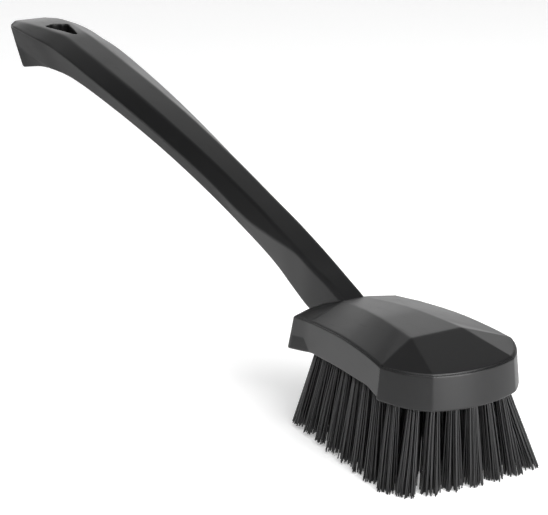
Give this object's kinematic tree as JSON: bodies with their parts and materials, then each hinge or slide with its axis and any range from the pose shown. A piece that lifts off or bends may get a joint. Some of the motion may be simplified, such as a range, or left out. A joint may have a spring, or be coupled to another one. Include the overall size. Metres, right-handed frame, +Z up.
{
  "type": "wash brush",
  "caption": "Long-handled wash brush: faceted block with splayed bristle tufts, tapering handle and a flared grip with a hanging hole.",
  "frame": {"origin": "on the floor plane of the bristle tips, below the centre of the whole brush", "axes": "+X along the brush from the grip's end to the nose of the block, +Y to the left side, +Z up from the bristle tips to the block"},
  "size_m": [0.415, 0.0754, 0.1239],
  "materials": {
    "moulding": "satin",
    "bristle": "satin"
  },
  "bodies": {
    "root": {"brush_body": "moulding", "tuft_inner_01": "bristle", "tuft_inner_02": "bristle", "tuft_inner_03": "bristle", "tuft_inner_04": "bristle", "tuft_inner_05": "bristle", "tuft_inner_06": "bristle", "tuft_inner_07": "bristle", "tuft_inner_08": "bristle", "tuft_inner_09": "bristle", "tuft_inner_10": "bristle", "tuft_middle_01": "bristle", "tuft_middle_02": "bristle", "tuft_middle_03": "bristle", "tuft_middle_04": "bristle", "tuft_middle_05": "bristle", "tuft_middle_06": "bristle", "tuft_middle_07": "bristle", "tuft_middle_08": "bristle", "tuft_middle_09": "bristle", "tuft_middle_10": "bristle", "tuft_middle_11": "bristle", "tuft_middle_12": "bristle", "tuft_middle_13": "bristle", "tuft_middle_14": "bristle", "tuft_middle_15": "bristle", "tuft_middle_16": "bristle", "tuft_middle_17": "bristle", "tuft_middle_18": "bristle", "tuft_outer_01": "bristle", "tuft_outer_02": "bristle", "tuft_outer_03": "bristle", "tuft_outer_04": "bristle", "tuft_outer_05": "bristle", "tuft_outer_06": "bristle", "tuft_outer_07": "bristle", "tuft_outer_08": "bristle", "tuft_outer_09": "bristle", "tuft_outer_10": "bristle", "tuft_outer_11": "bristle", "tuft_outer_12": "bristle", "tuft_outer_13": "bristle", "tuft_outer_14": "bristle", "tuft_outer_15": "bristle", "tuft_outer_16": "bristle", "tuft_outer_17": "bristle", "tuft_outer_18": "bristle", "tuft_outer_19": "bristle", "tuft_outer_20": "bristle", "tuft_outer_21": "bristle", "tuft_outer_22": "bristle", "tuft_outer_23": "bristle", "tuft_outer_24": "bristle", "tuft_outer_25": "bristle", "tuft_outer_26": "bristle", "tuft_outer_27": "bristle", "tuft_outer_28": "bristle"}
  },
  "joints": []
}
